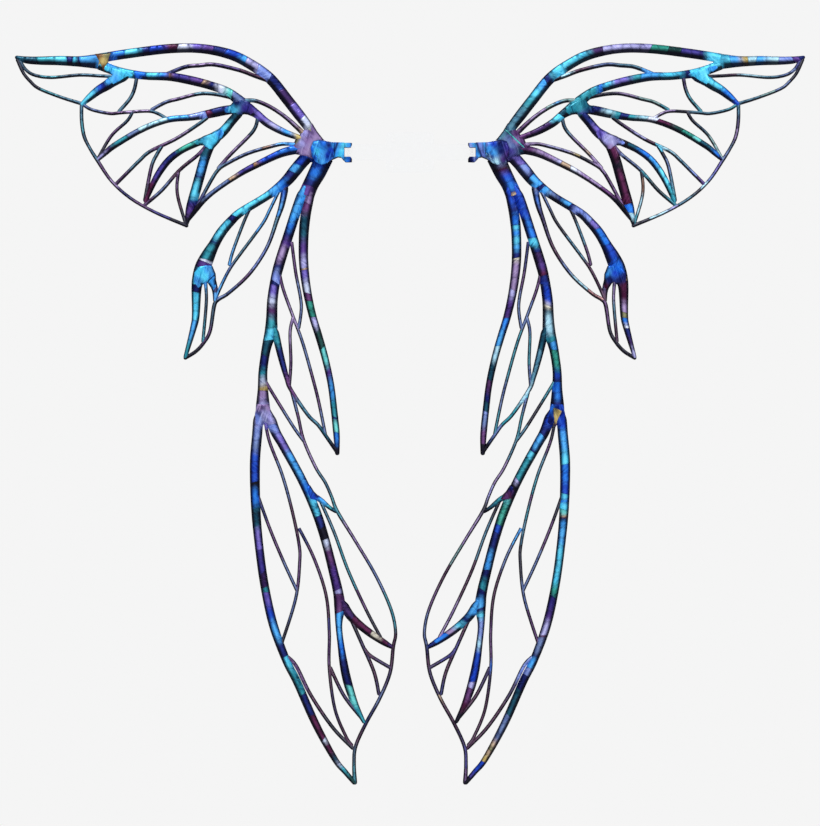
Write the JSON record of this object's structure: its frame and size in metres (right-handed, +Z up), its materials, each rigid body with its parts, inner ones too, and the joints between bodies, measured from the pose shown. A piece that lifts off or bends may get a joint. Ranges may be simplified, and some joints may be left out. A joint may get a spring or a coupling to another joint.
{
  "type": "fairy wings",
  "caption": "Pair of butterfly-shaped costume wings of open, film-wrapped veins, hinged on a clear back plate, with forewings that fold down.",
  "frame": {"origin": "middle of the back yoke, on its mid-thickness, halfway between the two root hinges", "axes": "+X along the span to the wings on the right of a front view, +Y from the front of the wings towards the back of the yoke, +Z up"},
  "size_m": [0.9866, 0.0225, 0.9265],
  "materials": {
    "clear_sheet": "clear, polished",
    "steel": "satin",
    "washer": "matte",
    "hub_blue": "pearlescent film",
    "plate_blue": "pearlescent film",
    "left_forewing_film": "pearlescent film in bands",
    "right_forewing_film": "pearlescent film in bands",
    "left_midwing_film": "pearlescent film in bands",
    "right_midwing_film": "pearlescent film in bands",
    "left_tail_film": "pearlescent film in bands",
    "right_tail_film": "pearlescent film in bands",
    "left_vein_film": "pearlescent film in bands",
    "right_vein_film": "pearlescent film in bands"
  },
  "bodies": {
    "root": {"back_yoke": "clear_sheet", "hinge_pins": "clear_sheet"},
    "left_wing": {"left_root_hub": "hub_blue", "left_hub_front_plate": "plate_blue", "left_pivot_stud": "steel", "left_friction_washers": "washer", "left_hub_screws": "steel", "left_midwing_spar": "left_midwing_film", "left_midwing_spurs": "left_midwing_film", "left_midwing_edge_wire": "left_vein_film", "left_midwing_veins": "left_vein_film", "left_tail_trunk": "left_tail_film", "left_tail_upper_spar": "left_tail_film", "left_tail_inner_spar": "left_tail_film", "left_tail_outer_spar": "left_tail_film", "left_tail_lower_spar": "left_tail_film", "left_tail_branch_spars": "left_tail_film", "left_tail_edge_wire": "left_vein_film", "left_tail_long_veins": "left_vein_film", "left_tail_short_veins": "left_vein_film"},
    "right_wing": {"right_root_hub": "hub_blue", "right_hub_front_plate": "plate_blue", "right_pivot_stud": "steel", "right_friction_washers": "washer", "right_hub_screws": "steel", "right_midwing_spar": "right_midwing_film", "right_midwing_spurs": "right_midwing_film", "right_midwing_edge_wire": "right_vein_film", "right_midwing_veins": "right_vein_film", "right_tail_trunk": "right_tail_film", "right_tail_upper_spar": "right_tail_film", "right_tail_inner_spar": "right_tail_film", "right_tail_outer_spar": "right_tail_film", "right_tail_lower_spar": "right_tail_film", "right_tail_branch_spars": "right_tail_film", "right_tail_edge_wire": "right_vein_film", "right_tail_long_veins": "right_vein_film", "right_tail_short_veins": "right_vein_film"},
    "left_forewing": {"left_forewing_root_plate": "left_forewing_film", "left_forewing_tip_spar": "left_forewing_film", "left_forewing_leading_spar": "left_forewing_film", "left_forewing_mid_spar": "left_forewing_film", "left_forewing_fan_spar_upper": "left_forewing_film", "left_forewing_fan_spar_middle": "left_forewing_film", "left_forewing_branch_spars": "left_forewing_film", "left_forewing_root_spar": "left_forewing_film", "left_forewing_edge_wire": "left_vein_film", "left_forewing_long_veins": "left_vein_film", "left_forewing_short_veins": "left_vein_film"},
    "right_forewing": {"right_forewing_root_plate": "right_forewing_film", "right_forewing_tip_spar": "right_forewing_film", "right_forewing_leading_spar": "right_forewing_film", "right_forewing_mid_spar": "right_forewing_film", "right_forewing_fan_spar_upper": "right_forewing_film", "right_forewing_fan_spar_middle": "right_forewing_film", "right_forewing_branch_spars": "right_forewing_film", "right_forewing_root_spar": "right_forewing_film", "right_forewing_edge_wire": "right_vein_film", "right_forewing_long_veins": "right_vein_film", "right_forewing_short_veins": "right_vein_film"}
  },
  "joints": [
    {"name": "left_wing_swing", "type": "hinge", "parent": "root", "child": "left_wing", "pos_m": [-0.077, 0, 0], "axis": [0, 0, 1], "range_deg": [-15, 80]},
    {"name": "right_wing_swing", "type": "hinge", "parent": "root", "child": "right_wing", "pos_m": [0.077, 0, 0], "axis": [0, 0, -1], "range_deg": [-15, 80]},
    {"name": "left_forewing_fold", "type": "hinge", "parent": "left_wing", "child": "left_forewing", "pos_m": [-0.11, 0, 0], "axis": [0, -1, 0], "range_deg": [0, 90]},
    {"name": "right_forewing_fold", "type": "hinge", "parent": "right_wing", "child": "right_forewing", "pos_m": [0.11, 0, 0], "axis": [0, 1, 0], "range_deg": [0, 90]}
  ]
}
